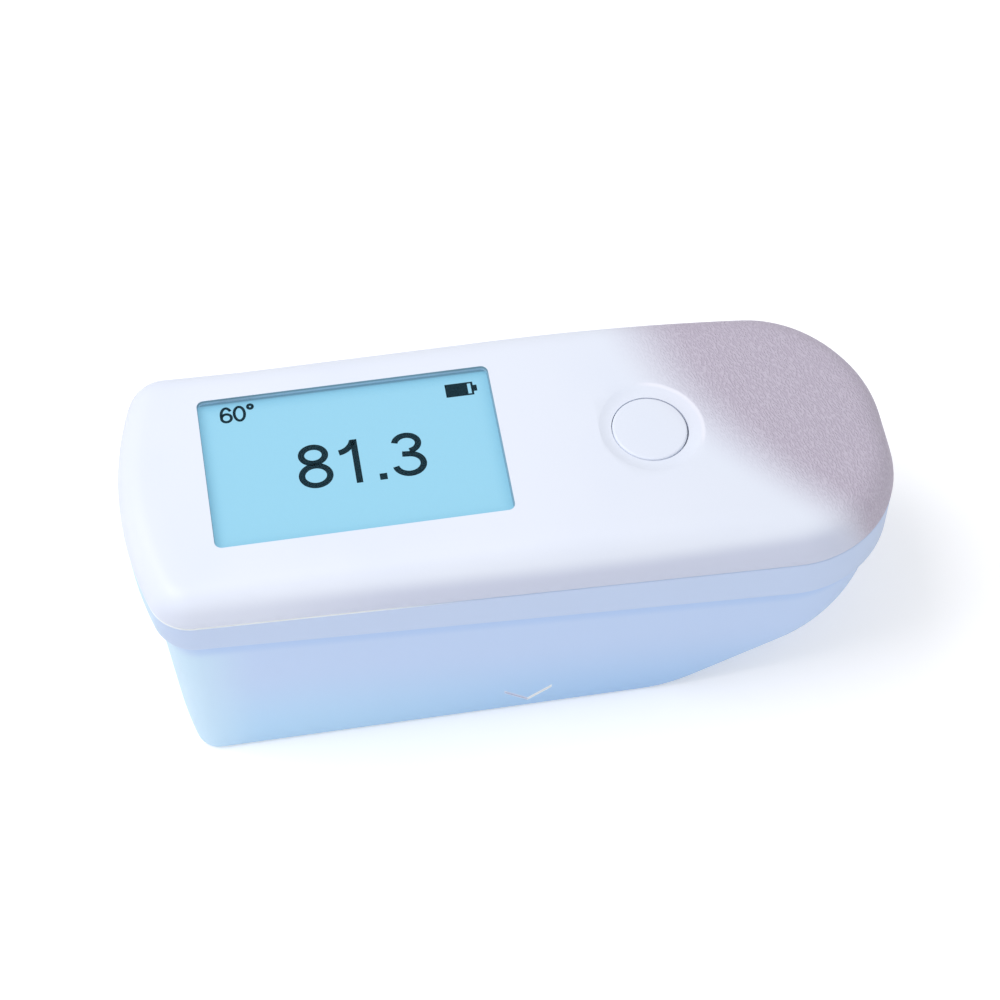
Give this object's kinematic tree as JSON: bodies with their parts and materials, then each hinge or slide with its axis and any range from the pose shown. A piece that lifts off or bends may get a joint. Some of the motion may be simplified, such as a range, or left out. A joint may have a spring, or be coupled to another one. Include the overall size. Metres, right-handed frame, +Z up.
{
  "type": "gloss meter",
  "caption": "Hand-held 60 degree gloss meter: two-part moulded housing with a recessed display, a round button and an aperture in its underside.",
  "frame": {"origin": "middle of the underside, at the centre of the measuring aperture", "axes": "+X along the body to the palm end, +Y to the far side, +Z up"},
  "size_m": [0.15, 0.056, 0.058],
  "materials": {
    "white_shell": "satin moulded, fine grain on the palm end",
    "pale_blue_shell": "satin moulded",
    "clear_window": "clear gloss",
    "lit_panel": "backlit display panel",
    "black_foam": "closed cell foam",
    "white_diffuser": "milky",
    "green_board": "circuit board",
    "black_block": "black, dull",
    "chip_case": "moulded epoxy",
    "optical_glass": "polished",
    "plate_metal": "fine turned",
    "screw_steel": "plain",
    "cell_can": "plain sleeve",
    "contact_nickel": "nickel plated strip"
  },
  "bodies": {
    "housing": {"base_plate": "plate_metal", "battery_cell_inner": "cell_can", "battery_cell_outer": "cell_can", "block_screw_far": "screw_steel", "block_screw_near": "screw_steel", "board_screw_1_far": "screw_steel", "board_screw_1_near": "screw_steel", "board_screw_2_far": "screw_steel", "board_screw_2_near": "screw_steel", "case_screw_far": "screw_steel", "case_screw_near": "screw_steel", "contact_far": "contact_nickel", "contact_near": "contact_nickel", "detector_board": "green_board", "display_backlight": "white_diffuser", "display_carrier": "black_block", "display_glass": "lit_panel", "dust_window": "optical_glass", "light_source": "white_diffuser", "lower_shell": "pale_blue_shell", "main_board": "green_board", "memory_chip": "chip_case", "optical_block": "black_block", "photodetector": "screw_steel", "plate_screw_back_far": "screw_steel", "plate_screw_back_near": "screw_steel", "plate_screw_front_far": "screw_steel", "plate_screw_front_near": "screw_steel", "processor_chip": "chip_case", "receiver_lens": "optical_glass", "receiver_lens_ring": "black_block", "receiver_stop": "black_block", "source_board": "green_board", "source_lens": "optical_glass", "source_lens_ring": "black_block", "source_slit": "black_block", "tact_switch": "chip_case", "upper_shell": "white_shell", "window_gasket": "black_foam", "window_lens": "clear_window"},
    "button": {"measure_button": "white_shell", "switch_plunger": "black_block"},
    "door": {"battery_door": "pale_blue_shell"}
  },
  "joints": [
    {"name": "button_press", "type": "slide", "parent": "housing", "child": "button", "axis": [0, 0, -1], "range_m": [0, 0.0005], "stiffness_N_per_m": 800, "springref_m": -0.0006},
    {"name": "door_hinge", "type": "hinge", "parent": "housing", "child": "door", "pos_m": [-0.04095, 0, 0.0012], "axis": [0, -1, 0], "range_deg": [0, 85]}
  ]
}
